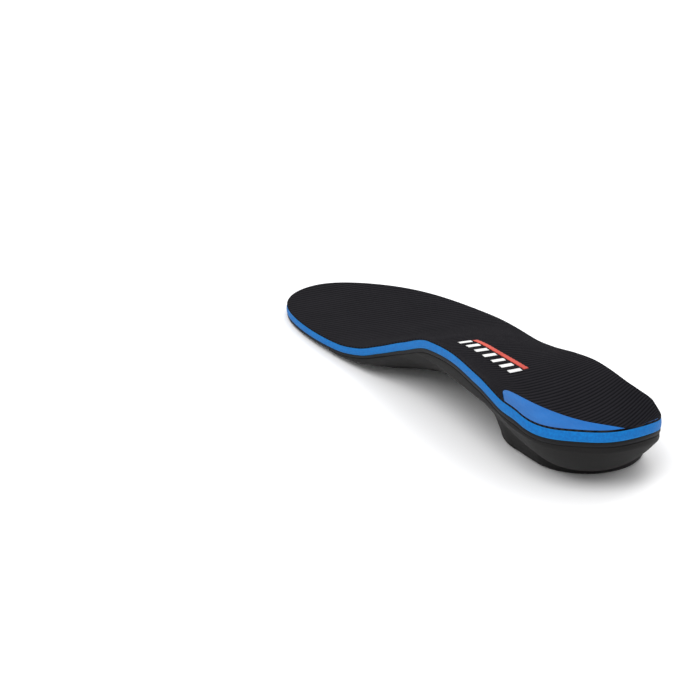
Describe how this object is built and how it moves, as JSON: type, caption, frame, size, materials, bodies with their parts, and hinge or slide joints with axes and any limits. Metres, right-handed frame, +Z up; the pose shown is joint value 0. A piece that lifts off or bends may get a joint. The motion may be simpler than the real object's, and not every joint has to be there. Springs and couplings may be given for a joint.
{
  "type": "shoe insole",
  "caption": "Arch-support shoe insole: knit cover over a foam cushion, with a deep heel cup, raised arch and moulded heel post.",
  "frame": {"origin": "on the heel post's floor face, under the centre of the heel cup", "axes": "+X from heel to toe, +Y to the inner (arch) side, +Z up"},
  "size_m": [0.2811, 0.0892, 0.039],
  "materials": {
    "cover_knit": "fine ribbed knit",
    "cushion_foam": "matte closed-cell foam",
    "backing_foam": "matte foam",
    "stiffener_plastic": "satin polypropylene",
    "base_foam": "moulded matte EVA",
    "patch_film": "smooth satin film",
    "print_white": "matte print",
    "print_coral": "matte print"
  },
  "bodies": {
    "rear": {"top_cover_rear": "cover_knit", "cushion_rear": "cushion_foam", "backing_rear": "backing_foam", "arch_stiffener": "stiffener_plastic", "base_cradle": "base_foam", "heel_patch": "patch_film", "arch_print_bars": "print_white", "arch_print_stripe": "print_coral"},
    "toe": {"top_cover_toe": "cover_knit", "cushion_toe": "cushion_foam", "backing_toe": "backing_foam"}
  },
  "joints": [
    {"name": "ball_flex", "type": "hinge", "parent": "rear", "child": "toe", "pos_m": [0.172, 0, 0.0083], "axis": [-0.2419, -0.9703, 0], "range_deg": [0, 50], "stiffness_Nm_per_rad": 0.06}
  ]
}
